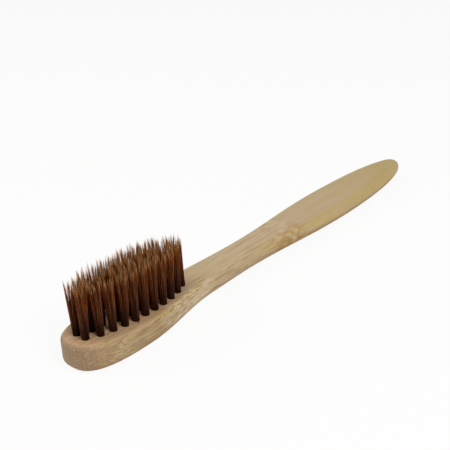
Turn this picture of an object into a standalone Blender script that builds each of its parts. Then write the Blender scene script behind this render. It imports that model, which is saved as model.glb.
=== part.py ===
# Seam cleaning brush: a one-piece bamboo body with drilled holes, and a tuft of filament in each hole.
#
# The brush lies on its flat back, tufts up. Z = 0 is the back, X runs from the head's end to the tail,
# and the origin is under the middle of the brush. All sizes are in metres.

import math
import random

import bmesh
import bpy
from mathutils import Matrix, Vector

# Body, seen from above. Places are measured from the head's end.
BODY_LENGTH = 0.1800
HEAD_WIDTH = 0.0202
HEAD_ROUNDING = 0.0226
NECK_WIDTH = 0.0117
NECK_START = 0.0539
NECK_END = 0.0667
GRIP_WIDTH = 0.0193
GRIP_PLACE = 0.1290
HEAD_FULLNESS = 2.65
TAIL_FULLNESS = 2.16

# Body, seen from the side: the back is flat, and the strip thins towards the tail.
HEAD_THICKNESS = 0.0086
SHOULDER_THICKNESS = 0.0072
SHOULDER_PLACE = 0.0460
NECK_THICKNESS = 0.0071
NECK_PLACE = 0.0750
GRIP_THICKNESS = 0.0060
TAIL_THICKNESS = 0.0045
TAIL_LIFT = 0.0013
TAIL_LIFT_START = 0.0950

# Rounded edges: small on the head, wide on the handle, and small again at the tail's tip.
HEAD_TOP_EDGE = 0.0016
NOSE_BACK_EDGE = 0.0018
HEAD_BACK_EDGE = 0.0023
HANDLE_EDGE = 0.0050
TAIL_EDGE = 0.0030
HEAD_EDGE_END = 0.0360
HANDLE_EDGE_START = 0.0950
EDGE_LIMIT_SHARE = 0.85
HEAD_CENTRE = 0.0100
TAIL_CENTRE_INSET = 0.0090

# Holes and their tufts: each number is how many tufts stand in one column across the head. The inner row's
# place is a share of the column's half span.
TUFTS_ACROSS = (2, 3, 3, 4, 4, 4, 4, 4, 3, 3, 2)
FIRST_COLUMN = 0.0049
COLUMN_PITCH = 0.00395
FIELD_WIDTH = 0.0114
END_ROW_GAP = 0.0036
INNER_ROW_SHARE = 0.32
INNER_ROW_STEP = 0.0010
HOLE_DIAMETER = 0.0024
HOLE_DEPTH = 0.0052
FIT_CLEARANCE = 0.0003
CUT_OVERRUN = 0.0010

# One tuft: a pressed root in the hole, and strands that spread and taper above it. The strands' waist is a
# share of the bristle height, and the other strand shares are of the root's radius. Tufts near both ends of the
# field, within a share of its length, lean towards the nose.
BRISTLE_HEIGHT = 0.0174
BRISTLE_UNEVENNESS = 0.0024
ROOT_RECESS = 0.0009
ROOT_FOLD = 0.0005
CORE_INSET_SHARE = 0.46
WAIST_HEIGHT_SHARE = 0.72
WAIST_SPREAD_SHARE = 0.50
WAIST_THINNING_SHARE = 0.09
TIP_SPREAD_SHARE = 0.39
TIP_STRAY_SHARE = 0.13
NOSE_LEAN = math.radians(4.0)
NECK_LEAN = math.radians(2.5)
LEAN_REACH_SHARE = 0.30

# The flat metal plate in the fold of each tuft, and its bite into the wood.
ANCHOR_THICKNESS = 0.0004
ANCHOR_HEIGHT = 0.0013
ANCHOR_BITE = 0.0003
ANCHOR_RISE = 0.0006
ANCHOR_TURN = math.radians(40.0)

# Numbers of facets and stations.
OUTLINE_STATIONS = 58
EDGE_STEPS = 6
HOLE_SIDES = 16
ROOT_SIDES = 8
MERGE_GAP = 0.000001
SMOOTH_BELOW = math.radians(35.0)
SEED = 11


def smooth_step(start, end, place):
    """Rise from 0 to 1 between two places, level at both ends."""
    share = min(max((place - start) / (end - start), 0.0), 1.0)
    return share * share * (3.0 - 2.0 * share)


def rounded_end(half_width, reach, distance, fullness):
    """Half-width of a rounded end, at a distance back from where the end starts to close."""
    share = min(max(distance / reach, 0.0), 1.0)
    return half_width * (1.0 - share ** fullness) ** (1.0 / fullness)


def half_width_at(place):
    """Half-width of the body: round head, narrow neck, wide grip and a long rounded tail."""
    head, neck, grip = HEAD_WIDTH / 2.0, NECK_WIDTH / 2.0, GRIP_WIDTH / 2.0
    if place < HEAD_ROUNDING:
        return rounded_end(head, HEAD_ROUNDING, HEAD_ROUNDING - place, HEAD_FULLNESS)
    if place > GRIP_PLACE:
        return rounded_end(grip, BODY_LENGTH - GRIP_PLACE, place - GRIP_PLACE, TAIL_FULLNESS)
    narrowing = smooth_step(HEAD_ROUNDING, NECK_START, place)
    widening = smooth_step(NECK_END, GRIP_PLACE, place)
    return head + (neck - head) * narrowing + (grip - neck) * widening


def along(stations, place):
    """Straight-line reading of a table of (place, size) pairs."""
    for (start, first), (end, last) in zip(stations, stations[1:]):
        if place <= end:
            return first + (last - first) * max(place - start, 0.0) / (end - start)
    return stations[-1][1]


def back_height_at(place):
    """The back is flat and lifts a little towards the tail."""
    share = max(place - TAIL_LIFT_START, 0.0) / (BODY_LENGTH - TAIL_LIFT_START)
    return TAIL_LIFT * share * share


def thickness_at(place):
    """Thickness of the strip between its back and its top face."""
    stations = (
        (0.0, HEAD_THICKNESS),
        (SHOULDER_PLACE, SHOULDER_THICKNESS),
        (NECK_PLACE, NECK_THICKNESS),
        (GRIP_PLACE, GRIP_THICKNESS),
        (BODY_LENGTH, TAIL_THICKNESS),
    )
    return along(stations, place)


def top_height_at(place):
    return back_height_at(place) + thickness_at(place)


def edge_sizes_at(place, on_top):
    """Reach across and reach down of a rounded edge: an arc on the head, half the strip on the handle."""
    back_edge = NOSE_BACK_EDGE + (HEAD_BACK_EDGE - NOSE_BACK_EDGE) * smooth_step(0.0, HEAD_ROUNDING, place)
    head_edge = HEAD_TOP_EDGE if on_top else back_edge
    handle = smooth_step(HEAD_EDGE_END, HANDLE_EDGE_START, place)
    tail = smooth_step(GRIP_PLACE, BODY_LENGTH, place)
    across = head_edge + (HANDLE_EDGE - head_edge) * handle + (TAIL_EDGE - HANDLE_EDGE) * tail
    down = head_edge + (thickness_at(place) / 2.0 - head_edge) * handle
    return across, down


def section_point(place, row):
    """Point of the half body: row 0 is the middle of the top face, and the last row the middle of the back."""
    last_row = 2 * EDGE_STEPS + 3
    rim = Vector((place, -half_width_at(place)))
    spine = Vector((min(max(place, HEAD_CENTRE), BODY_LENGTH - TAIL_CENTRE_INSET), 0.0))
    on_top = row <= EDGE_STEPS + 1
    across, down = edge_sizes_at(place, on_top)
    steps_in = row - 1 if on_top else last_row - 1 - row
    turn = math.radians(90.0) * max(steps_in, 0) / EDGE_STEPS
    inward = spine - rim
    reach = min(across, EDGE_LIMIT_SHARE * inward.length) * (1.0 - math.sin(turn))
    point = rim + inward.normalized() * reach
    if row in (0, last_row):
        point.y = 0.0
    sunk = down * (1.0 - math.cos(turn))
    height = top_height_at(point.x) - sunk if on_top else back_height_at(point.x) + sunk
    return Vector((point.x - BODY_LENGTH / 2.0, point.y, height))


def outline_place(share):
    """Stations along the body, closer together at both ends."""
    return BODY_LENGTH / 2.0 * (1.0 - math.cos(math.pi * share))


def material(name, colour, roughness, metallic=0.0):
    """A plain finish from an sRGB colour given as three shares of full brightness."""
    made = bpy.data.materials.new(name)
    made.use_nodes = True
    shader = made.node_tree.nodes["Principled BSDF"]
    linear = [((c + 0.055) / 1.055) ** 2.4 if c > 0.04045 else c / 12.92 for c in colour]
    shader.inputs["Base Color"].default_value = (*linear, 1.0)
    shader.inputs["Roughness"].default_value = roughness
    shader.inputs["Metallic"].default_value = metallic
    return made


def add_object(name, mesh, collection, finish=None):
    made = bpy.data.objects.new(name, mesh)
    collection.objects.link(made)
    if finish:
        mesh.materials.append(finish)
    return made


def mesh_from(bm, name):
    mesh = bpy.data.meshes.new(name)
    bm.to_mesh(mesh)
    bm.free()
    return mesh


def make_cutter(name, mesh, collection):
    """A tool shape that cuts or joins another piece and isn't a piece itself."""
    made = add_object(name, mesh, collection)
    made.hide_render = True
    made.display_type = "WIRE"
    return made


def column_half_span(column):
    """Outer tufts stand on an ellipse, so the columns grow shorter towards both ends of the field."""
    middle = (len(TUFTS_ACROSS) - 1) / 2.0
    end_share = (column - middle) / middle
    narrowing = 1.0 - (END_ROW_GAP / FIELD_WIDTH) ** 2
    return FIELD_WIDTH / 2.0 * math.sqrt(1.0 - narrowing * end_share ** 2)


def tuft_places():
    """Name, place along the body and place across it of every tuft."""
    places = []
    for column, count in enumerate(TUFTS_ACROSS):
        half_span = column_half_span(column)
        for row in range(count):
            place = FIRST_COLUMN + column * COLUMN_PITCH
            across = -half_span + 2.0 * half_span * row / (count - 1)
            if count == 4 and row in (1, 2):
                place += INNER_ROW_STEP
                across = math.copysign(INNER_ROW_SHARE * half_span, across)
            places.append((f"tuft_{column + 1:02d}_{row + 1}", place, across))
    return places


def lean_at(place):
    """Lean towards the nose: most at the first column, none in the middle, and some again at the last."""
    share = (place - FIRST_COLUMN) / (COLUMN_PITCH * (len(TUFTS_ACROSS) - 1))
    at_nose = max(1.0 - share / LEAN_REACH_SHARE, 0.0)
    at_neck = max(1.0 - (1.0 - share) / LEAN_REACH_SHARE, 0.0)
    return NOSE_LEAN * at_nose + NECK_LEAN * at_neck


def mouth_of(place, across):
    """World point in the middle of a hole's mouth."""
    return Vector((place - BODY_LENGTH / 2.0, across, top_height_at(place)))


def half_body_mesh():
    """A grid wrapped round half of the body, from the top's middle line down to the back's middle line."""
    last_row = 2 * EDGE_STEPS + 3
    last_station = OUTLINE_STATIONS - 1
    bm = bmesh.new()
    bmesh.ops.create_grid(bm, x_segments=last_station, y_segments=last_row, size=1.0)
    for vert in bm.verts:
        station = round((vert.co.x + 1.0) / 2.0 * last_station)
        row = round((1.0 + vert.co.y) / 2.0 * last_row)
        vert.co = section_point(outline_place(station / last_station), row)
        if station in (0, last_station):
            vert.co.y = 0.0
    bmesh.ops.remove_doubles(bm, verts=bm.verts, dist=MERGE_GAP)
    bmesh.ops.dissolve_degenerate(bm, edges=bm.edges, dist=MERGE_GAP)
    return mesh_from(bm, "bamboo_body")


def hole_cutter_mesh():
    """All the blind holes, as round bars that stand out above the head."""
    bm = bmesh.new()
    for _, place, across in tuft_places():
        middle = mouth_of(place, across) + Vector((0.0, 0.0, (CUT_OVERRUN - HOLE_DEPTH) / 2.0))
        bmesh.ops.create_cone(
            bm, cap_ends=True, segments=HOLE_SIDES, radius1=HOLE_DIAMETER / 2.0, radius2=HOLE_DIAMETER / 2.0,
            depth=HOLE_DEPTH + CUT_OVERRUN, matrix=Matrix.Translation(middle))
    return mesh_from(bm, "hole_cutter")


def anchor_sizes():
    """Length, thickness and height of the plate: both its ends reach past the hole's wall."""
    return HOLE_DIAMETER + 2.0 * ANCHOR_BITE, ANCHOR_THICKNESS, ANCHOR_HEIGHT


def anchor_middle_depth():
    """Depth of the plate's middle below the hole's mouth."""
    return HOLE_DEPTH - FIT_CLEARANCE - ANCHOR_RISE - ANCHOR_HEIGHT / 2.0


def plate(bm, middle, sizes, growth):
    """A flat plate turned across the grain, made larger all round by a growth."""
    grown = [size + 2.0 * growth for size in sizes]
    turned = Matrix.Translation(middle) @ Matrix.Rotation(ANCHOR_TURN, 4, "Z") @ Matrix.Diagonal((*grown, 1.0))
    bmesh.ops.create_cube(bm, size=1.0, matrix=turned)


def bite_cutter_mesh():
    """The slots that the driven plates press into the walls of the holes."""
    bm = bmesh.new()
    for _, place, across in tuft_places():
        middle = mouth_of(place, across) - Vector((0.0, 0.0, anchor_middle_depth()))
        plate(bm, middle, anchor_sizes(), FIT_CLEARANCE)
    return mesh_from(bm, "bite_cutter")


def make_body(parts, cutters, finish):
    body = add_object("bamboo_body", half_body_mesh(), parts, finish)
    mirror = body.modifiers.new("other_half", "MIRROR")
    mirror.use_axis = (False, True, False)
    mirror.use_clip = True
    mirror.merge_threshold = MERGE_GAP
    for name, mesh in (("hole_cutter", hole_cutter_mesh()), ("bite_cutter", bite_cutter_mesh())):
        cut = body.modifiers.new(name, "BOOLEAN")
        cut.operation = "DIFFERENCE"
        cut.solver = "EXACT"
        cut.object = make_cutter(name, mesh, cutters)
    body.modifiers.new("even_shading", "WEIGHTED_NORMAL")
    body.data.shade_smooth()
    body.data.set_sharp_from_angle(angle=SMOOTH_BELOW)


def root_radius():
    return HOLE_DIAMETER / 2.0 - FIT_CLEARANCE


def split_core(bm, core):
    """Split the eight-sided middle of the root's end into three four-sided strand ends."""
    corners = sorted(core.verts, key=lambda v: math.atan2(v.co.y, v.co.x))
    bmesh.utils.face_split(core, corners[0], corners[3])
    rest = next(f for f in corners[4].link_faces if corners[7] in f.verts)
    bmesh.utils.face_split(rest, corners[4], corners[7])


def draw_strands(bm, chance):
    """Draw every face of the root's end up into one tapered, four-sided strand."""
    bm.normal_update()
    ends = [f for f in bm.faces if f.normal.z > 0.9]
    drawn = bmesh.ops.extrude_discrete_faces(bm, faces=ends)["faces"]
    for face in drawn:
        middle = face.calc_center_median()
        lift = Vector((0.0, 0.0, BRISTLE_HEIGHT * WAIST_HEIGHT_SHARE))
        lift.xy = middle.xy * WAIST_SPREAD_SHARE
        for vert in face.verts:
            inward = middle - vert.co
            vert.co += inward.normalized() * root_radius() * WAIST_THINNING_SHARE + lift
    tips = bmesh.ops.poke(bm, faces=drawn)["verts"]
    for tip in tips:
        stray = Vector((chance.uniform(-1.0, 1.0), chance.uniform(-1.0, 1.0))) * root_radius() * TIP_STRAY_SHARE
        tip.co.xy = tip.co.xy * (1.0 + TIP_SPREAD_SHARE) + stray
        tip.co.z = BRISTLE_HEIGHT - BRISTLE_UNEVENNESS * chance.random()


def tuft_mesh(name, lean, chance):
    """The pressed root stands in the hole with its folded end down, and leaning strands rise from its top."""
    bm = bmesh.new()
    depth = HOLE_DEPTH - FIT_CLEARANCE - ROOT_RECESS
    middle = Vector((0.0, 0.0, -ROOT_RECESS - depth / 2.0))
    bmesh.ops.create_cone(
        bm, cap_ends=True, segments=ROOT_SIDES, radius1=root_radius(), radius2=root_radius(), depth=depth,
        matrix=Matrix.Translation(middle))
    bm.normal_update()
    fold = [f for f in bm.faces if f.normal.z < -0.9]
    bmesh.ops.inset_region(bm, faces=fold, thickness=ROOT_FOLD, depth=0.0)
    folded = [v for v in bm.verts if v.co.xy.length < root_radius() - MERGE_GAP]
    lowest = min(v.co.z for v in bm.verts)
    for vert in bm.verts:
        if vert not in folded and abs(vert.co.z - lowest) < MERGE_GAP:
            vert.co.z += ROOT_FOLD
    top = [f for f in bm.faces if f.normal.z > 0.9]
    bmesh.ops.inset_region(bm, faces=top, thickness=root_radius() * CORE_INSET_SHARE, depth=0.0)
    bm.normal_update()
    split_core(bm, max((f for f in bm.faces if f.normal.z > 0.9), key=lambda f: len(f.verts)))
    draw_strands(bm, chance)
    for vert in bm.verts:
        vert.co.x -= math.tan(lean) * max(vert.co.z, 0.0)
    return mesh_from(bm, name)


def make_tufts(parts, cutters, finish):
    chance = random.Random(SEED)
    for name, place, across in tuft_places():
        tuft = add_object(name, tuft_mesh(name, lean_at(place), chance), parts, finish)
        tuft.location = mouth_of(place, across)
        bm = bmesh.new()
        plate(bm, Vector((0.0, 0.0, -anchor_middle_depth())), anchor_sizes(), 0.0)
        anchor = make_cutter(f"anchor_of_{name}", mesh_from(bm, f"anchor_of_{name}"), cutters)
        anchor.location = tuft.location
        joined = tuft.modifiers.new("anchor", "BOOLEAN")
        joined.operation = "UNION"
        joined.solver = "EXACT"
        joined.object = anchor


def clear_scene():
    for old in list(bpy.data.objects):
        bpy.data.objects.remove(old, do_unlink=True)


def add_collection(name):
    made = bpy.data.collections.new(name)
    bpy.context.scene.collection.children.link(made)
    return made


def main():
    clear_scene()
    parts = add_collection("seam_cleaning_brush")
    cutters = add_collection("cutters")
    bamboo = material("bamboo", (0.74, 0.64, 0.49), 0.55)
    filament = material("brown_filament", (0.36, 0.22, 0.13), 0.45)
    make_body(parts, cutters, bamboo)
    make_tufts(parts, cutters, filament)


main()
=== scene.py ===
"""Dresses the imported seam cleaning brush: sanded bamboo, folded filament tufts, anchors and a plain stage."""

import math
import random
from contextlib import contextmanager
from functools import partial
from types import SimpleNamespace

import bmesh
import bpy
from bpy.props import FloatProperty, FloatVectorProperty, IntProperty, PointerProperty
from mathutils import Matrix, Vector


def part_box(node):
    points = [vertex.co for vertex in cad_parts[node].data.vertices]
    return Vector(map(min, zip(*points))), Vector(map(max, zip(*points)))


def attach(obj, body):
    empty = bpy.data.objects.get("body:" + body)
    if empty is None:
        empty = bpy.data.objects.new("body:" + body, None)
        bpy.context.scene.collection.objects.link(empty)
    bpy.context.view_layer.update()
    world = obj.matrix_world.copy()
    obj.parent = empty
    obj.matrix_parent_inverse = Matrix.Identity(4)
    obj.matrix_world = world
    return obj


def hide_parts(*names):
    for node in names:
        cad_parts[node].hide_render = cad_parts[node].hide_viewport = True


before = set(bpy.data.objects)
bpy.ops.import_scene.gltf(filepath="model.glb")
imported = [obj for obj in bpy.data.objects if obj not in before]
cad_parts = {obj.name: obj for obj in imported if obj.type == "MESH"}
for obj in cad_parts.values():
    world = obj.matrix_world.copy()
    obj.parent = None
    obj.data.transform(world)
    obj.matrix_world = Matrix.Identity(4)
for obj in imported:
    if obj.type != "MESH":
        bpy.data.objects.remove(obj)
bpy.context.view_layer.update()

bl_info = {
    "name": "Seam cleaning brush",
    "version": (1, 0, 0),
    "blender": (4, 5, 0),
    "location": "3D View > Sidebar > Brush",
    "description": "Dresses a small bamboo brush with grain, filament tufts and a plain stage",
    "category": "Object",
}

MM = 0.001
BODY_NODE = "bamboo_body"
TUFT_NODES = sorted(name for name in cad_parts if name.startswith("tuft_"))

# The solid tufts stand this deep in their holes and carry plates of this make, turned this way.
ROOT_DEPTH = 4.9 * MM
PLATE_SIZE = (3.0 * MM, 0.4 * MM, 1.3 * MM)
PLATE_MIDDLE_DEPTH = 3.65 * MM
PLATE_TURN = math.radians(40.0)
PLATE_BEVEL = 0.06 * MM

# The flat top round the holes, where the solid body has long, thin faces.
DRILLED_TOP_END = -40.0 * MM
DRILLED_TOP_FLOOR = 6.0 * MM

# Vertices nearer than this count as being at the same place.
NEAR = 0.01 * MM

# A folded filament: how far its fold's centre is above the root's end, how far above the plate it turns
# straight, where its first layer is at the hole's mouth as a share of the layers' pitch there, and its rings
# above the mouth, each a share of the height with how much slimmer the filament gets there.
FOLD_RISE = 0.75 * MM
PLATE_CLEARANCE = 0.2 * MM
FIRST_LAYER = 0.56
RINGS = ((0.35, 1.0), (0.60, 0.80), (0.78, 0.65), (0.90, 0.60), (1.0, 1.0))

# Powers of the height by which filaments fan out and draw together, and the share of it that no trim reaches.
FAN_CURVE = 1.25
GATHER_CURVE = 2.0
UNTRIMMED = 0.3

# Shares of the unevenness that come from a filament's point, its distance from that point, and chance.
TRIM_BY_POINT, TRIM_BY_DISTANCE, TRIM_BY_CHANCE = 0.35, 0.45, 0.20

# The points of a tuft stand in two rings, at these shares of its reach.
INNER_RING, OUTER_RING = 0.30, 0.80

# Share of the rows at either end over which the lean fades, and at the nose over which the tufts get lower.
END_ROWS = 0.30

# Each lamp: its name, its place, the spot it points at and its width in metres, and its power's setting.
LAMPS = (
    ("key_lamp", (-0.12, -0.44, 0.52), (-0.01, 0.0, 0.0), 0.35, "key_power"),
    ("fill_lamp", (-0.36, 0.42, 0.36), (-0.04, 0.0, 0.0), 0.50, "fill_power"),
)

# The floor lies this far below the brush and shows the camera this share of pure white.
FLOOR_GAP = 0.2 * MM
FLOOR_GLOW = 0.90

# The camera's sensor, in millimetres, and the nearest thing that it sees.
SENSOR_WIDTH = 36.0
NEAREST_SEEN = 10.0 * MM

# Makes a Map Range node ease in and out.
SMOOTH = {"interpolation_type": "SMOOTHSTEP"}


def linear(hex_colour):
    """The linear colour of an sRGB hex value, with full alpha."""
    shares = [int(hex_colour[i:i + 2], 16) / 255 for i in (0, 2, 4)]
    return (*(((c + 0.055) / 1.055) ** 2.4 if c > 0.04045 else c / 12.92 for c in shares), 1.0)


def length(name, description, default):
    return FloatProperty(name=name, description=description, default=default, min=0.0, unit="LENGTH",
                         subtype="DISTANCE", precision=5)


def colour(name, description, hex_colour):
    return FloatVectorProperty(name=name, description=description, default=linear(hex_colour), size=4,
                               min=0.0, max=1.0, subtype="COLOR")


# Settings


class BrushBodySettings(bpy.types.PropertyGroup):
    """Sizes and colours of the bamboo body."""

    fibre_width: length("Fibre width", "Width of the finest streaks across the grain", 0.26 * MM)
    fibre_length: length("Fibre length", "Length of the finest streaks along the grain", 9.0 * MM)
    band_width: length("Band width", "Width of the broad bands across the grain", 5.0 * MM)
    bundle_spacing: length("Bundle spacing", "Distance between the dots on the end grain", 0.55 * MM)
    knot_place: FloatProperty(name="Knot place", description="Where the bamboo's joint crosses the body",
                              default=5.0 * MM, unit="LENGTH", subtype="DISTANCE", precision=4)
    knot_reach: length("Knot reach", "Distance from the joint to where its marks end", 12.0 * MM)
    tan: colour("Tan", "Soft wood of the neck and the grip", "BBA380")
    olive: colour("Olive", "Harder, greener wood towards the tail", "B39C66")
    warm: colour("Warm", "Browner wood at the sides of the head", "A28665")
    # Painted light: a lighter, pinker tone for the head's top, making up for the shade that the tufts cast on
    # it.
    painted_top_light: colour("Rose", "Freshly sanded wood on top of the head", "BE9A75")
    worn: colour("Worn", "Greyer, dry wood on the sides", "B19A78")
    pale: colour("Pale", "Dry wood between the fibres", "D0BE9E")
    fibre: colour("Fibre", "Darker bundles of fibre", "7E5C33")
    # Also a painted highlight along the upper rounded edges.
    skin: colour("Skin", "Yellow wood close under the cane's skin", "BBA165")
    # Also the colour of the painted shade under the handle and, in part, along the sides' lower edge.
    knot_and_painted_shade: colour("Knot", "Brown marks at the cane's joint", "9C7641")
    # Also darkens the whole nose end, partly as painted shade.
    end_grain_and_shade: colour("End grain", "Cut ends of the fibres", "74583F")


class BrushTuftSettings(bpy.types.PropertyGroup):
    """Sizes and colours of the filament tufts."""

    filament: length("Filament", "Diameter of one filament", 0.19 * MM)
    row_pitch: length("Row pitch", "Distance between folded filaments along the anchor", 0.195 * MM)
    layer_pitch: length("Layer pitch", "Distance between layers of folded filament", 0.175 * MM)
    mouth_pitch: length("Mouth pitch", "Distance between the layers at the hole's mouth", 0.21 * MM)
    inner_fold: length("Inner fold", "Radius of the tightest fold, round the anchor's lower edge", 0.34 * MM)
    bundle_radius: length("Bundle radius", "Reach of the bundle from the middle of its hole", 1.12 * MM)
    layers: IntProperty(name="Layers", description="Number of layers of folded filament", default=5,
                        min=1, max=6)
    height: length("Height", "Height of the longest filaments above the wood", 18.42 * MM)
    unevenness: length("Unevenness", "How much shorter the shortest filaments are", 3.9 * MM)
    stray: length("Stray", "How far one filament's tip strays from its place", 0.15 * MM)
    spread: FloatProperty(name="Spread", description="How much wider a tuft is at its tips than at its mouth",
                          default=0.95, min=0.0, max=1.5)
    gather: FloatProperty(name="Gather", description="How strongly tips draw together into points",
                          default=0.68, min=0.0, max=1.0)
    points: IntProperty(name="Points", description="Number of points that a tuft's tips draw into",
                        default=8, min=4, max=16)
    patterns: IntProperty(name="Patterns", description="Number of tufts that differ", default=5, min=1)
    seed: IntProperty(name="Seed", description="Start of the random draws", default=9)
    lean: FloatProperty(name="Lean", description="Largest lean of a tuft in its hole",
                        default=math.radians(2.0), min=0.0, subtype="ANGLE")
    nose_lean: FloatProperty(name="Nose lean", description="Lean of the first tufts, out over the nose",
                             default=math.radians(1.5), min=0.0, subtype="ANGLE")
    neck_lean: FloatProperty(name="Neck lean", description="Lean of the last tufts, away from the neck",
                             default=math.radians(2.4), min=0.0, subtype="ANGLE")
    slope: FloatProperty(name="Slope", description="Share by which the tufts behind the nose are lower",
                         default=0.025, min=0.0, max=0.5)
    # Painted shade: the filament darkened near the wood, where the tuft shades itself.
    painted_root_shade: colour("Shade", "Filament near the wood", "2A1106")
    middle: colour("Middle", "Filament at half height", "653416")
    # Painted light: paler tips, standing in for the light that thin tips let through.
    tip: colour("Tip", "Worn, thin tips", "96603D")
    anchor: colour("Anchor", "Plated steel of the anchors", "B9B4A6")


class BrushStageSettings(bpy.types.PropertyGroup):
    """The camera, the floor and the light."""

    camera_place: FloatVectorProperty(name="Camera place", description="Where the camera stands",
                                      default=(-0.2089, -0.1608, 0.1348), size=3, unit="LENGTH",
                                      subtype="TRANSLATION")
    heading: FloatProperty(name="Heading", description="Compass direction of the view from +X towards +Y",
                           default=math.radians(40.66), subtype="ANGLE")
    dip: FloatProperty(name="Dip", description="How far the camera looks down",
                       default=math.radians(25.33), subtype="ANGLE")
    roll: FloatProperty(name="Roll", description="Turn of the camera about its view",
                        default=math.radians(2.52), subtype="ANGLE")
    focal: FloatProperty(name="Focal length", description="Focal length on a 36 mm sensor",
                         default=67.2, min=1.0)
    floor_size: length("Floor size", "Width of the floor", 6.0)
    floor_tone: colour("Floor tone", "Paint of the floor", "F2F1EE")
    key_power: FloatProperty(name="Key power", description="Power of the lamp before the brush",
                             default=2.7, min=0.0, unit="POWER")
    fill_power: FloatProperty(name="Fill power", description="Power of the lamp behind the nose",
                              default=1.5, min=0.0, unit="POWER")
    sky: FloatProperty(name="Sky", description="Strength of the even light from all round",
                       default=0.38, min=0.0)


# Modelling helpers


def only(*objs):
    """Select these objects and nothing else, with the last one active."""
    for other in bpy.context.selected_objects:
        other.select_set(False)
    for obj in objs:
        obj.select_set(True)
        bpy.context.view_layer.objects.active = obj


@contextmanager
def editing(obj, kind="VERT"):
    """Edit mode on one object, with nothing of it selected."""
    only(obj)
    bpy.ops.object.mode_set(mode="EDIT")
    bpy.ops.mesh.select_mode(type=kind)
    bpy.ops.mesh.select_all(action="DESELECT")
    yield
    bpy.ops.object.mode_set(mode="OBJECT")


def pick(obj, test):
    """In edit mode, select only the vertices whose place passes the test."""
    shape = bmesh.from_edit_mesh(obj.data)
    for vert in shape.verts:
        vert.select = test(vert.co)
    shape.select_flush_mode()
    bmesh.update_edit_mesh(obj.data)


def apply_modifier(obj, kind, **settings):
    only(obj)
    modifier = obj.modifiers.new(kind.lower(), kind)
    for name, value in settings.items():
        setattr(modifier, name, value)
    bpy.ops.object.modifier_apply(modifier=modifier.name)


def duplicate(obj, name):
    """A copy of an object with its own mesh."""
    only(obj)
    bpy.ops.object.duplicate(linked=False)
    copy = bpy.context.active_object
    copy.name = copy.data.name = name
    return copy


def join(objs, name):
    only(*objs)
    bpy.ops.object.join()
    joined = bpy.context.active_object
    joined.name = joined.data.name = name
    return joined


def settle(obj):
    """Put the object's place into its mesh, so that the object sits at the origin."""
    only(obj)
    bpy.ops.object.transform_apply(location=True, rotation=True, scale=True)


def paint(obj, material):
    obj.data.materials.clear()
    obj.data.materials.append(material)


def keep(obj, slot, *nodes):
    """Attach a finished piece to the root empty and hide the solid parts that it stands for."""
    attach(obj, "root")
    if nodes:
        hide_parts(*nodes)


# Material helpers


def add_node(tree, kind, links=None, **settings):
    """Add a shader node to a tree.

    Links maps the name or number of an input to a value, or to the socket or the node that feeds it. Of a
    node, the first output in use is taken."""
    node = tree.nodes.new("ShaderNode" + kind)
    for name, value in settings.items():
        setattr(node, name, value)
    for key, value in (links or {}).items():
        if isinstance(key, int):
            socket = node.inputs[key]
        else:
            socket = next(s for s in node.inputs if s.enabled and s.name == key)
        if isinstance(value, bpy.types.Node):
            value = next(s for s in value.outputs if s.enabled)
        if isinstance(value, bpy.types.NodeSocket):
            tree.links.new(value, socket)
        else:
            socket.default_value = value
    return node


def new_material(name):
    """An empty material, and add_node for its tree."""
    made = bpy.data.materials.new(name)
    made.use_nodes = True
    made.node_tree.nodes.clear()
    return made, partial(add_node, made.node_tree)


def long_grain(add, place, along, across, detail=2.0):
    """Noise drawn out along the grain: its marks are this long in X and this wide in Y and Z."""
    scale = (1.0 / along, 1.0 / across, 1.0 / across)
    stretched = add("Mapping", {"Vector": place, "Scale": scale})
    noise = add("TexNoise", {"Vector": stretched, "Scale": 1.0, "Detail": detail, "Roughness": 0.6})
    return noise.outputs["Fac"]


def distance_along(add, on, x):
    """Distance from a place along the body."""
    offset = add("Math", {0: on.x, 1: x}, operation="SUBTRACT")
    return add("Math", {0: offset}, operation="ABSOLUTE")


# Bamboo

# A mark is a share from 0 to 1 and the colour that it brings. A share that depends on two things has the
# first as the upper limit of the second. In these functions, on holds what body_zones gives.


def body_zones(add):
    """The place on the body, the way its surface faces, and shares that tell its surfaces apart."""
    place = add("TexCoord").outputs["Object"]
    axes = add("SeparateXYZ", {"Vector": place}).outputs
    facing = add("SeparateXYZ", {"Vector": add("NewGeometry").outputs["Normal"]}).outputs
    sideways = add("Math", {0: facing["Y"]}, operation="ABSOLUTE")
    upwards = add("MapRange", {"Value": facing["Z"], "From Min": 0.0, "From Max": 0.35}, **SMOOTH)
    side = add("MapRange", {"Value": sideways, "From Min": 0.25, "From Max": 0.8}, **SMOOTH)
    edge = add("MapRange", {"Value": sideways, "From Min": 0.15, "From Max": 0.45, "To Max": upwards},
               **SMOOTH)
    end = add("MapRange", {"Value": facing["X"], "From Min": -0.25, "From Max": -0.80}, **SMOOTH)
    off_end = add("MapRange", {"Value": facing["X"], "From Min": -0.65, "From Max": -0.15}, **SMOOTH)
    return SimpleNamespace(place=place, x=axes["X"], z=axes["Z"], up=facing["Z"], sideways=sideways,
                           side=side, edge=edge, end=end, off_end=off_end)


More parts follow.
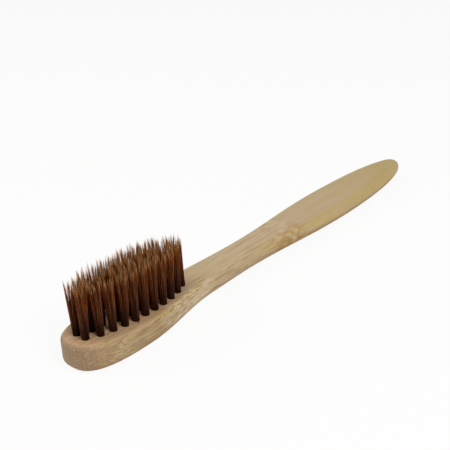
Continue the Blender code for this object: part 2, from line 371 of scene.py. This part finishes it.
def slow_tones(add, on, settings):
    """Broad, soft bands and more olive wood towards the tail, paler wood in the neck, and a browner head whose
    top
    is painted lighter and pinker: painted light that makes up for the shade of the tufts."""
    bands = long_grain(add, on.place, 45.0 * MM, settings.band_width, detail=1.0)
    banded = add("MapRange", {"Value": bands, "From Min": 0.40, "From Max": 0.62, "To Min": -0.12,
                              "To Max": 0.25}, **SMOOTH)
    towards_tail = add("MapRange", {"Value": on.x, "From Min": 15.0 * MM, "From Max": 85.0 * MM,
                                    "To Max": 0.85}, **SMOOTH)
    olive = add("Math", {0: towards_tail, 1: banded}, operation="ADD", use_clamp=True)
    off_neck = distance_along(add, on, -15.0 * MM)
    pale = add("MapRange", {"Value": off_neck, "From Min": 35.0 * MM, "From Max": 10.0 * MM,
                            "To Max": 0.12}, **SMOOTH)
    in_head = add("MapRange", {"Value": on.x, "From Min": -36.0 * MM, "From Max": -72.0 * MM}, **SMOOTH)
    # Painted light on the head's top: lighter and pinker, making up for the tufts' shade.
    painted_top_light_share = add("MapRange", {"Value": on.up, "From Min": 0.7, "From Max": 0.97, "To Max": in_head},
                 **SMOOTH)
    return [(olive, settings.olive), (pale, settings.pale), (in_head, settings.warm), (painted_top_light_share, settings.painted_top_light)]


def side_tones(add, on, settings):
    """Grey, dry wood in long patches on the sides, paler blotches at the head's shoulder, and a browner band
    along the sides' lower edge, partly the wood's own lower band and partly painted shade near the floor."""
    dry_side = add("MapRange", {"Value": on.side, "To Max": on.off_end})
    patches = long_grain(add, on.place, 22.0 * MM, 2.0 * MM, detail=1.0)
    worn = add("MapRange", {"Value": patches, "From Min": 0.44, "From Max": 0.62, "To Max": dry_side},
               **SMOOTH)
    off_shoulder = distance_along(add, on, -48.0 * MM)
    shoulder = add("MapRange", {"Value": off_shoulder, "From Min": 16.0 * MM, "From Max": 6.0 * MM,
                                "To Max": dry_side}, **SMOOTH)
    blotches = long_grain(add, on.place, 6.0 * MM, 2.0 * MM, detail=1.0)
    blotched = add("MapRange", {"Value": blotches, "From Min": 0.34, "From Max": 0.56, "To Max": shoulder},
                   **SMOOTH)
    # Browner along the sides' lower edge: partly the wood's own lower band, partly painted shade near the
    # floor.
    low = add("MapRange", {"Value": on.z, "From Min": 3.2 * MM, "From Max": 1.2 * MM, "To Max": 0.5},
              **SMOOTH)
    low_side_tone_and_shade = add("MapRange", {"Value": on.side, "To Max": low})
    return [(worn, settings.worn), (blotched, settings.pale), (low_side_tone_and_shade, settings.knot_and_painted_shade)]


def edge_tones(add, on, settings):
    """Yellow along the upper rounded edges, partly wood near the cane's skin and partly a painted highlight: a
    soft band behind the neck and broken streaks before it. Painted shade on the faces that turn downwards
    behind the neck, and long yellow fibres in the upper half of the head's sides."""
    # The yellow band and streaks along the upper rounded edges are partly wood near the cane's skin and partly
    # a painted highlight.
    behind_neck = add("MapRange", {"Value": on.x, "From Min": -28.0 * MM, "From Max": 4.0 * MM,
                                   "To Max": 0.75}, **SMOOTH)
    soft = long_grain(add, on.place, 20.0 * MM, 1.8 * MM, detail=1.0)
    band_edge = add("MapRange", {"Value": on.edge, "To Max": behind_neck})
    band = add("MapRange", {"Value": soft, "From Min": 0.26, "From Max": 0.54, "To Max": band_edge},
               **SMOOTH)
    # Painted shade: faces that turn downwards behind the neck are darkened, where less light reaches them.
    under = add("MapRange", {"Value": on.up, "From Min": 0.3, "From Max": -0.4, "To Max": behind_neck},
                **SMOOTH)

    before_neck = add("MapRange", {"Value": on.x, "From Min": -18.0 * MM, "From Max": -50.0 * MM,
                                   "To Min": 0.2}, **SMOOTH)
    broken = long_grain(add, on.place, 7.0 * MM, 0.8 * MM, detail=1.0)
    streak_edge = add("MapRange", {"Value": on.edge, "To Max": before_neck})
    streak_edge = add("MapRange", {"Value": on.off_end, "To Max": streak_edge})
    streaks = add("MapRange", {"Value": broken, "From Min": 0.48, "From Max": 0.66, "To Max": streak_edge},
                  **SMOOTH)

    gold = long_grain(add, on.place, 0.8 * settings.fibre_length, 1.6 * settings.fibre_width)
    upper = add("MapRange", {"Value": on.z, "From Min": 2.0 * MM, "From Max": 5.0 * MM, "To Max": on.side},
                **SMOOTH)
    upper = add("MapRange", {"Value": on.x, "From Min": -25.0 * MM, "From Max": -50.0 * MM,
                             "To Max": upper}, **SMOOTH)
    upper = add("MapRange", {"Value": on.off_end, "To Max": upper})
    golden = add("MapRange", {"Value": gold, "From Min": 0.50, "From Max": 0.62, "To Max": upper}, **SMOOTH)
    return [(band, settings.skin), (under, settings.knot_and_painted_shade), (streaks, settings.skin), (golden, settings.skin)]


def fibre_streaks(add, on, settings, fine):
    """Dry wood between the fibres, long bundles and fine streaks: the cut sides show them best and the sanded
    grip least."""
    run, width = settings.fibre_length, settings.fibre_width
    bare = add("MapRange", {"Value": on.x, "From Min": -45.0 * MM, "From Max": 35.0 * MM, "To Min": 1.0,
                            "To Max": 0.15}, **SMOOTH)
    show = add("MapRange", {"Value": on.side, "To Min": 0.7, "To Max": 1.0})
    show = add("Math", {0: show, 1: bare}, operation="MULTIPLY")
    lined = add("MapRange", {"Value": on.off_end, "To Min": 0.0, "To Max": show})

    dry = long_grain(add, on.place, run, 2.4 * width)
    dried = add("MapRange", {"Value": lined, "To Max": 0.45})
    dried = add("MapRange", {"Value": dry, "From Min": 0.52, "From Max": 0.68, "To Max": dried}, **SMOOTH)

    coarse = long_grain(add, on.place, 4.0 * run, 2.2 * width, detail=1.0)
    off_grip = add("MapRange", {"Value": on.x, "From Min": 25.0 * MM, "From Max": -5.0 * MM, "To Min": 0.08,
                                "To Max": 0.36}, **SMOOTH)
    bundled = add("MapRange", {"Value": on.off_end, "To Max": off_grip})
    bundled = add("MapRange", {"Value": coarse, "From Min": 0.52, "From Max": 0.68, "To Max": bundled},
                  **SMOOTH)

    streaked = add("MapRange", {"Value": lined, "To Max": 0.65})
    streaked = add("MapRange", {"Value": fine, "From Min": 0.52, "From Max": 0.64, "To Max": streaked},
                   **SMOOTH)
    return [(dried, settings.pale), (bundled, settings.fibre), (streaked, settings.fibre)]


def joint_marks(add, on, settings):
    """Mottled marks where the cane's joint crosses the body: pale flecks over brown smudges, clearest at the
    edges."""
    off_knot = distance_along(add, on, settings.knot_place)
    at_edges = add("MapRange", {"Value": on.sideways, "From Min": 0.02, "From Max": 0.35, "To Min": 0.6},
                   **SMOOTH)
    near_knot = add("MapRange", {"Value": off_knot, "From Min": settings.knot_reach,
                                 "From Max": 0.3 * settings.knot_reach, "To Max": at_edges}, **SMOOTH)
    squeezed = add("Mapping", {"Vector": on.place, "Location": (1.5 * MM, -1.0 * MM, 0.0),
                               "Scale": (0.6, 1.0, 1.0)})
    smudge = add("TexNoise", {"Vector": squeezed, "Scale": 0.22 / MM, "Detail": 2.0})
    lower = add("MapRange", {"Value": on.up, "From Min": 0.2, "From Max": 0.8, "To Min": 1.0,
                             "To Max": 0.45}, **SMOOTH)
    smudged = add("MapRange", {"Value": near_knot, "To Max": lower})
    smudged = add("MapRange", {"Value": smudge, "From Min": 0.36, "From Max": 0.54, "To Max": smudged},
                  **SMOOTH)
    fleck = add("TexNoise", {"Vector": squeezed, "Scale": 0.55 / MM, "Detail": 2.0})
    higher = add("MapRange", {"Value": on.up, "From Max": 0.4, "To Min": 0.3, "To Max": 0.42}, **SMOOTH)
    flecked = add("MapRange", {"Value": near_knot, "To Max": higher})
    flecked = add("MapRange", {"Value": fleck, "From Min": 0.42, "From Max": 0.62, "To Max": flecked},
                  **SMOOTH)
    return [(smudged, settings.knot_and_painted_shade), (flecked, settings.pale)]


def cut_ends(add, on, settings):
    """Cut ends of the bundles on the nose: dark dots among dry, pale ones; the end's darker tone is partly
    painted shade.
    """
    across = add("Mapping", {"Vector": on.place, "Scale": (0.15, 1.0, 1.0)})
    cells = add("TexVoronoi", {"Vector": across, "Scale": 1.0 / settings.bundle_spacing})
    # The whole end face takes some of this dark colour: partly end grain, partly painted shade on the nose.
    dot = add("MapRange", {"Value": cells.outputs["Distance"], "From Min": 0.50, "From Max": 0.15,
                           "To Min": 0.28, "To Max": 0.72}, **SMOOTH)
    dotted = add("MapRange", {"Value": on.end, "To Max": dot})
    speckle = add("TexNoise", {"Vector": across, "Scale": 1.6 / settings.bundle_spacing, "Detail": 1.0})
    speckled = add("MapRange", {"Value": on.end, "To Max": 0.35})
    speckled = add("MapRange", {"Value": speckle, "From Min": 0.45, "From Max": 0.70, "To Max": speckled},
                   **SMOOTH)
    return [(dotted, settings.end_grain_and_shade), (speckled, settings.pale)]


def sanded_bamboo(settings):
    """Moso bamboo, cut from a strip and sanded: pale tan with brown fibre bundles that run its whole length,
    dots of the same bundles on the cut end, yellower along the upper rounded edges, partly near the cane's skin
    and partly a painted highlight, and mottled marks at the joint. Its colour also carries painted light on the
    head's top and painted shade under the handle, along the sides' lower edge and on the nose. The sanding
    leaves it dry, with the fibres standing a little proud."""
    material, add = new_material("sanded_bamboo")
    on = body_zones(add)
    fine = long_grain(add, on.place, settings.fibre_length, settings.fibre_width)
    marks = slow_tones(add, on, settings)
    marks += side_tones(add, on, settings)
    marks += edge_tones(add, on, settings)
    marks += fibre_streaks(add, on, settings, fine)
    marks += joint_marks(add, on, settings)
    marks += cut_ends(add, on, settings)
    wood = settings.tan
    for share, tone in marks:
        wood = add("Mix", {"Factor": share, "A": wood, "B": tone}, data_type="RGBA")
    relief = add("Bump", {"Height": fine, "Strength": 0.25, "Distance": 0.06 * MM})
    rough = add("MapRange", {"Value": fine, "From Min": 0.3, "From Max": 0.7, "To Min": 0.62,
                             "To Max": 0.50})
    shader = add("BsdfPrincipled", {"Base Color": wood, "Roughness": rough, "IOR": 1.46,
                                    "Specular IOR Level": 0.3, "Normal": relief})
    add("OutputMaterial", {"Surface": shader})
    return material


# Filament and steel


def brown_filament(settings):
    """Drawn polyester (PBT) filament, dyed brown: satin and a little translucent, so that thin tips glow
    warmly. Its colour carries painted shade, darkest near the wood deep in the tuft, and painted light that
    makes it paler towards the tips; some strands are lighter or darker than the next."""
    material, add = new_material("brown_filament")
    place = add("TexCoord").outputs["Object"]
    rise = add("Attribute", attribute_name="rise").outputs["Fac"]
    # Painted shade: darkest near the wood, rising to the middle colour higher up.
    upper = add("MapRange", {"Value": rise, "From Min": 0.05, "From Max": 0.75}, **SMOOTH)
    body = add("Mix", {"Factor": upper, "A": settings.painted_root_shade, "B": settings.middle}, data_type="RGBA")
    # Painted light: paler towards the tips, for the light that the thin tips let through.
    worn = add("MapRange", {"Value": rise, "From Min": 0.80}, **SMOOTH)
    body = add("Mix", {"Factor": worn, "A": body, "B": settings.tip}, data_type="RGBA")

    # Streaks two filaments wide, since single ones would be too fine to show.
    streak_width = 2.0 * settings.filament
    scale = (1.0 / streak_width, 1.0 / streak_width, 1.0 / settings.height)
    stretched = add("Mapping", {"Vector": place, "Scale": scale})
    streaks = add("TexNoise", {"Vector": stretched, "Scale": 1.0, "Detail": 1.0})
    lighter = add("MapRange", {"Value": streaks, "From Min": 0.35, "From Max": 0.65, "To Min": 0.44,
                               "To Max": 1.52}, **SMOOTH)
    toned = add("HueSaturation", {"Color": body, "Value": lighter})
    shader = add("BsdfPrincipled", {"Base Color": toned, "Roughness": 0.45, "IOR": 1.55,
                                    "Specular IOR Level": 0.1, "Subsurface Weight": 0.6,
                                    "Subsurface Radius": (1.0, 0.45, 0.2),
                                    "Subsurface Scale": 2.0 * settings.filament})
    add("OutputMaterial", {"Surface": shader})
    return material


def plated_steel(settings):
    """Zinc-plated steel strip, cut to length: a dull bright metal with a fine, uneven polish."""
    material, add = new_material("plated_steel")
    place = add("TexCoord").outputs["Object"]
    polish = add("TexNoise", {"Vector": place, "Scale": 1.0 / (0.15 * MM), "Detail": 2.0})
    rough = add("MapRange", {"Value": polish, "From Min": 0.3, "From Max": 0.7, "To Min": 0.28,
                             "To Max": 0.42})
    shader = add("BsdfPrincipled", {"Base Color": settings.anchor, "Metallic": 1.0, "Roughness": rough})
    add("OutputMaterial", {"Surface": shader})
    return material


# Tufts


def hole_mouths():
    """Name of each solid tuft, and the middle of its hole's mouth."""
    mouths = {}
    for name in TUFT_NODES:
        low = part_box(name)[0].z
        root = [v.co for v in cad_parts[name].data.vertices if v.co.z < low + ROOT_DEPTH / 2.0]
        middle = [(min(c[i] for c in root) + max(c[i] for c in root)) / 2.0 for i in (0, 1)]
        mouths[name] = Vector((*middle, low + ROOT_DEPTH))
    return mouths


def off_anchor(settings, layer):
    """Distance of a layer of filaments from the anchor's plane, at the hole's mouth."""
    return settings.mouth_pitch * (layer + FIRST_LAYER)


def folded_filament(settings, layer):
    """One filament folded round the anchor's lower edge, both halves standing up out of the hole.

    Half of it is drawn up from the fold and mirrored across the anchor. Returns the piece and the heights of
    its rings above the mouth."""
    fold = settings.inner_fold + layer * settings.layer_pitch
    fold_centre = -(ROOT_DEPTH - FOLD_RISE)
    bpy.ops.mesh.primitive_circle_add(vertices=4, radius=settings.filament / 2.0, fill_type="NOTHING",
                                      location=(0.0, 0.0, fold_centre - fold),
                                      rotation=(math.radians(90.0), 0.0, 0.0))
    piece = bpy.context.active_object
    settle(piece)
    at_mouth = off_anchor(settings, layer)
    above_plate = -(PLATE_MIDDLE_DEPTH - PLATE_SIZE[2] / 2.0 - PLATE_CLEARANCE)
    heights = [settings.height * share for share, _ in RINGS]
    rings = [(Vector((0.0, (fold + at_mouth) / 2.0, above_plate)), 1.0), (Vector((0.0, at_mouth, 0.0)), 1.0)]
    for height, (_, slimmer) in zip(heights, RINGS):
        rings.append((Vector((0.0, at_mouth, height)), slimmer))
    with editing(piece):
        bpy.ops.mesh.select_all(action="SELECT")
        bpy.ops.mesh.spin(steps=2, angle=math.radians(-90.0), center=(0.0, 0.0, fold_centre),
                          axis=(1.0, 0.0, 0.0))
        here = Vector((0.0, fold, fold_centre))
        for there, slimmer in rings:
            bpy.ops.mesh.extrude_region_move(TRANSFORM_OT_translate={"value": there - here})
            if slimmer < 1.0:
                bpy.ops.transform.resize(value=(slimmer, slimmer, 1.0), center_override=there)
            here = there
        bpy.ops.mesh.merge(type="CENTER")
    apply_modifier(piece, "MIRROR", use_axis=(False, True, False), merge_threshold=NEAR)
    rise = piece.data.attributes.new("rise", "FLOAT", "POINT")
    for share, vert in zip(rise.data, piece.data.vertices):
        share.value = max(vert.co.z, 0.0) / settings.height
    with editing(piece):
        bpy.ops.mesh.select_all(action="SELECT")
        bpy.ops.mesh.normals_make_consistent(inside=False)
    return piece, heights


def spread_half(piece, side, settings, heights, points, chance):
    """Fan one half of a filament outwards, draw its tip towards the nearest point and trim it to a height.

    Each point is a place across the tuft and a share of the unevenness by which its filaments are shorter."""
    with editing(piece):
        pick(piece, lambda co: abs(co.z) < NEAR and co.y * side > 0.0)
        ring = [v.co for v in bmesh.from_edit_mesh(piece.data).verts if v.select]
        mouth = Vector([sum(co[i] for co in ring) / len(ring) for i in (0, 1)])
        free = mouth * (1.0 + settings.spread)
        point, shorter = min(points, key=lambda p: (p[0] - free).length)
        stray = Vector((chance.gauss(0.0, 1.0), chance.gauss(0.0, 1.0))) * settings.stray
        drawn = (point - free) * settings.gather + stray
        off_point = min((point - free).length / settings.bundle_radius, 1.0)
        trim = settings.unevenness * (TRIM_BY_POINT * shorter + TRIM_BY_DISTANCE * off_point
                                      + TRIM_BY_CHANCE * chance.random() ** 2)
        for height in heights:
            rise = height / settings.height
            shift = (free - mouth) * rise ** FAN_CURVE + drawn * rise ** GATHER_CURVE
            drop = -trim * max(rise - UNTRIMMED, 0.0) / (1.0 - UNTRIMMED)
            pick(piece, lambda co: abs(co.z - height) < NEAR and co.y * side > 0.0)
            bpy.ops.transform.translate(value=(shift.x, shift.y, drop))


def draw_points(settings, chance):
    """Places that a tuft's tips draw towards, in two uneven rings, each with how much shorter they get."""
    reach = settings.bundle_radius * (1.0 + settings.spread)
    turn = chance.uniform(0.0, math.tau)
    inner = settings.points // 4
    points = []
    for count, off_middle in ((inner, INNER_RING), (settings.points - inner, OUTER_RING)):
        for i in range(count):
            angle = turn + math.tau * (i + chance.uniform(-0.25, 0.25)) / count
            out = off_middle * reach * chance.uniform(0.8, 1.1)
            points.append((Vector((math.cos(angle), math.sin(angle))) * out, chance.random()))
    return points


def build_tuft(settings, name, chance):
    """A tuft at the origin, its anchor along X: layers of folded filaments with fanned and gathered tips."""
    points = draw_points(settings, chance)
    strands = []
    for layer in range(settings.layers):
        master, heights = folded_filament(settings, layer)
        half_row = math.sqrt(max(settings.bundle_radius ** 2 - off_anchor(settings, layer) ** 2, 0.0))
        steps = int(2.0 * half_row / settings.row_pitch)
        for step in range(steps + 1):
            strand = duplicate(master, f"{name}_strand")
            bpy.ops.transform.translate(value=((step - steps / 2.0) * settings.row_pitch, 0.0, 0.0))
            settle(strand)
            for side in (1.0, -1.0):
                spread_half(strand, side, settings, heights, points, chance)
            strands.append(strand)
        bpy.data.objects.remove(master)
    return join(strands, name)


# Operators


class BRUSH_OT_dress_body(bpy.types.Operator):
    """Merge and smooth a copy of the solid body and give it the bamboo's finish"""

    bl_idname = "brush.dress_body"
    bl_label = "Dress the bamboo body"

    def execute(self, context):
        body = duplicate(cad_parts[BODY_NODE], "bamboo_body_sanded")
        body.parent = None
        with editing(body):
            bpy.ops.mesh.select_all(action="SELECT")
            bpy.ops.mesh.remove_doubles(threshold=0.001 * MM)
            bpy.ops.mesh.dissolve_degenerate(threshold=0.03 * MM)
            pick(body, lambda co: co.x < DRILLED_TOP_END and co.z > DRILLED_TOP_FLOOR)
            bpy.ops.mesh.dissolve_limited(angle_limit=math.radians(1.0))
            bpy.ops.mesh.select_all(action="SELECT")
            bpy.ops.mesh.tris_convert_to_quads(face_threshold=math.radians(12.0))
        bpy.ops.object.shade_smooth_by_angle(angle=math.radians(35.0))
        apply_modifier(body, "WEIGHTED_NORMAL", keep_sharp=True)
        paint(body, sanded_bamboo(context.scene.brush_body))
        keep(body, "bamboo", BODY_NODE)
        return {"FINISHED"}


class BRUSH_OT_plant_tufts(bpy.types.Operator):
    """Fold, fan and plant a filament tuft in every hole of the head"""

    bl_idname = "brush.plant_tufts"
    bl_label = "Plant the tufts"

    def execute(self, context):
        settings = context.scene.brush_tufts
        chance = random.Random(settings.seed)
        finish = brown_filament(settings)
        masters = [build_tuft(settings, f"tuft_pattern_{i}", chance) for i in range(settings.patterns)]
        mouths = hole_mouths()
        first, last = min(m.x for m in mouths.values()), max(m.x for m in mouths.values())
        for count, (name, mouth) in enumerate(mouths.items()):
            tuft = duplicate(masters[count % len(masters)], f"{name}_filaments")
            tuft.location = mouth
            tuft.rotation_euler.z = PLATE_TURN + chance.choice((0.0, math.pi))
            settle(tuft)
            share = (mouth.x - first) / (last - first)
            self.bend(tuft, mouth, share, settings, chance)
            paint(tuft, finish)
            keep(tuft, "brown_filament", name)
        for master in masters:
            bpy.data.objects.remove(master)
        return {"FINISHED"}

    def bend(self, tuft, mouth, share, settings, chance):
        """Lean and lower a tuft above its hole's mouth, by its share of the way from nose to neck."""
        outward = (settings.nose_lean * max(1.0 - share / END_ROWS, 0.0)
                   + settings.neck_lean * max(1.0 - (1.0 - share) / END_ROWS, 0.0))
        lower = 1.0 - settings.slope * min(share / END_ROWS, 1.0)
        with editing(tuft):
            pick(tuft, lambda co: co.z > mouth.z + NEAR)
            bpy.ops.transform.resize(value=(1.0, 1.0, lower), center_override=mouth)
            for axis, lean in (("X", 0.0), ("Y", outward)):
                lean += chance.uniform(-1.0, 1.0) * settings.lean
                bpy.ops.transform.rotate(value=lean, orient_axis=axis, center_override=mouth)


class BRUSH_OT_drive_anchors(bpy.types.Operator):
    """Drive a flat steel plate through the fold of every tuft"""

    bl_idname = "brush.drive_anchors"
    bl_label = "Drive the anchors"

    def execute(self, context):
        finish = plated_steel(context.scene.brush_tufts)
        bpy.ops.mesh.primitive_cube_add(size=1.0)
        plate = bpy.context.active_object
        plate.scale = PLATE_SIZE
        settle(plate)
        with editing(plate, "EDGE"):
            bpy.ops.mesh.select_all(action="SELECT")
            bpy.ops.mesh.bevel(offset=PLATE_BEVEL, segments=1)
        plates = []
        for name, mouth in hole_mouths().items():
            driven = duplicate(plate, f"{name}_anchor")
            driven.location = mouth - Vector((0.0, 0.0, PLATE_MIDDLE_DEPTH))
            driven.rotation_euler.z = PLATE_TURN
            plates.append(driven)
        bpy.data.objects.remove(plate)
        anchors = join(plates, "anchors")
        settle(anchors)
        paint(anchors, finish)
        keep(anchors, "brown_filament")
        return {"FINISHED"}


class BRUSH_OT_set_stage(bpy.types.Operator):
    """Set the floor, the light and the camera"""

    bl_idname = "brush.set_stage"
    bl_label = "Set the stage"

    def execute(self, context):
        settings = context.scene.brush_stage
        self.lay_floor(settings)
        self.light(settings)
        self.place_camera(settings)
        context.scene.view_settings.view_transform = "Standard"
        return {"FINISHED"}

    @staticmethod
    def seen_rays(add):
        """1 for the rays of the camera, reflections and clear glass, and 0 for those that carry light."""
        path = add("LightPath").outputs
        seen = add("Math", {0: path["Is Camera Ray"], 1: path["Is Glossy Ray"]}, operation="MAXIMUM")
        return add("Math", {0: seen, 1: path["Is Transmission Ray"]}, operation="MAXIMUM")

    def lay_floor(self, settings):
        """A pale floor that the camera and reflections see almost white, with the brush's shadow on it."""
        bpy.ops.mesh.primitive_plane_add(size=settings.floor_size, location=(0.0, 0.0, -FLOOR_GAP))
        floor = bpy.context.active_object
        floor.name = "floor"
        material, add = new_material("pale_floor")
        paper = add("BsdfDiffuse", {"Color": settings.floor_tone})
        glow = add("Emission", {"Strength": 1.0})
        share = add("Math", {0: self.seen_rays(add), 1: FLOOR_GLOW}, operation="MULTIPLY")
        add("OutputMaterial", {"Surface": add("MixShader", {0: share, 1: paper, 2: glow})})
        paint(floor, material)

    def light(self, settings):
        """A soft lamp above and before the brush, a weaker one behind its nose, and even light all round."""
        for name, place, aim, size, power in LAMPS:
            turn = (Vector(aim) - Vector(place)).to_track_quat("-Z", "Y").to_euler()
            bpy.ops.object.light_add(type="AREA", location=place, rotation=turn)
            lamp = bpy.context.active_object
            lamp.name = name
            lamp.data.size = size
            lamp.data.energy = getattr(settings, power)
        world = bpy.data.worlds.new("white_surround")
        world.use_nodes = True
        world.node_tree.nodes.clear()
        add = partial(add_node, world.node_tree)
        strength = add("MapRange", {"Value": self.seen_rays(add), "To Min": settings.sky, "To Max": 1.0})
        sky = add("Background", {"Color": (1.0, 1.0, 1.0, 1.0), "Strength": strength})
        add("OutputWorld", {"Surface": sky})
        bpy.context.scene.world = world

    def place_camera(self, settings):
        """The camera at the photo's angle, turned about its own view by the roll."""
        turn = (Matrix.Rotation(settings.heading - math.radians(90.0), 4, "Z")
                @ Matrix.Rotation(math.radians(90.0) - settings.dip, 4, "X")
                @ Matrix.Rotation(-settings.roll, 4, "Z")).to_euler()
        bpy.ops.object.camera_add(location=settings.camera_place, rotation=turn)
        camera = bpy.context.active_object
        camera.data.lens = settings.focal
        camera.data.sensor_width = SENSOR_WIDTH
        camera.data.clip_start = NEAREST_SEEN
        bpy.context.scene.camera = camera


class BRUSH_PT_panel(bpy.types.Panel):
    """Brush tools in the sidebar"""

    bl_idname = "BRUSH_PT_panel"
    bl_label = "Seam cleaning brush"
    bl_space_type = "VIEW_3D"
    bl_region_type = "UI"
    bl_category = "Brush"

    def draw(self, context):
        groups = ((context.scene.brush_body, ("brush.dress_body",)),
                  (context.scene.brush_tufts, ("brush.plant_tufts", "brush.drive_anchors")),
                  (context.scene.brush_stage, ("brush.set_stage",)))
        for settings, operators in groups:
            box = self.layout.box()
            for name in settings.__annotations__:
                box.prop(settings, name)
            for operator in operators:
                box.operator(operator)


CLASSES = (BrushBodySettings, BrushTuftSettings, BrushStageSettings, BRUSH_OT_dress_body,
           BRUSH_OT_plant_tufts, BRUSH_OT_drive_anchors, BRUSH_OT_set_stage, BRUSH_PT_panel)


def register():
    for cls in CLASSES:
        bpy.utils.register_class(cls)
    bpy.types.Scene.brush_body = PointerProperty(type=BrushBodySettings)
    bpy.types.Scene.brush_tufts = PointerProperty(type=BrushTuftSettings)
    bpy.types.Scene.brush_stage = PointerProperty(type=BrushStageSettings)


def unregister():
    del bpy.types.Scene.brush_stage
    del bpy.types.Scene.brush_tufts
    del bpy.types.Scene.brush_body
    for cls in reversed(CLASSES):
        bpy.utils.unregister_class(cls)


def main():
    register()
    bpy.ops.brush.dress_body()
    bpy.ops.brush.plant_tufts()
    bpy.ops.brush.drive_anchors()
    bpy.ops.brush.set_stage()


if __name__ == "__main__":
    main()
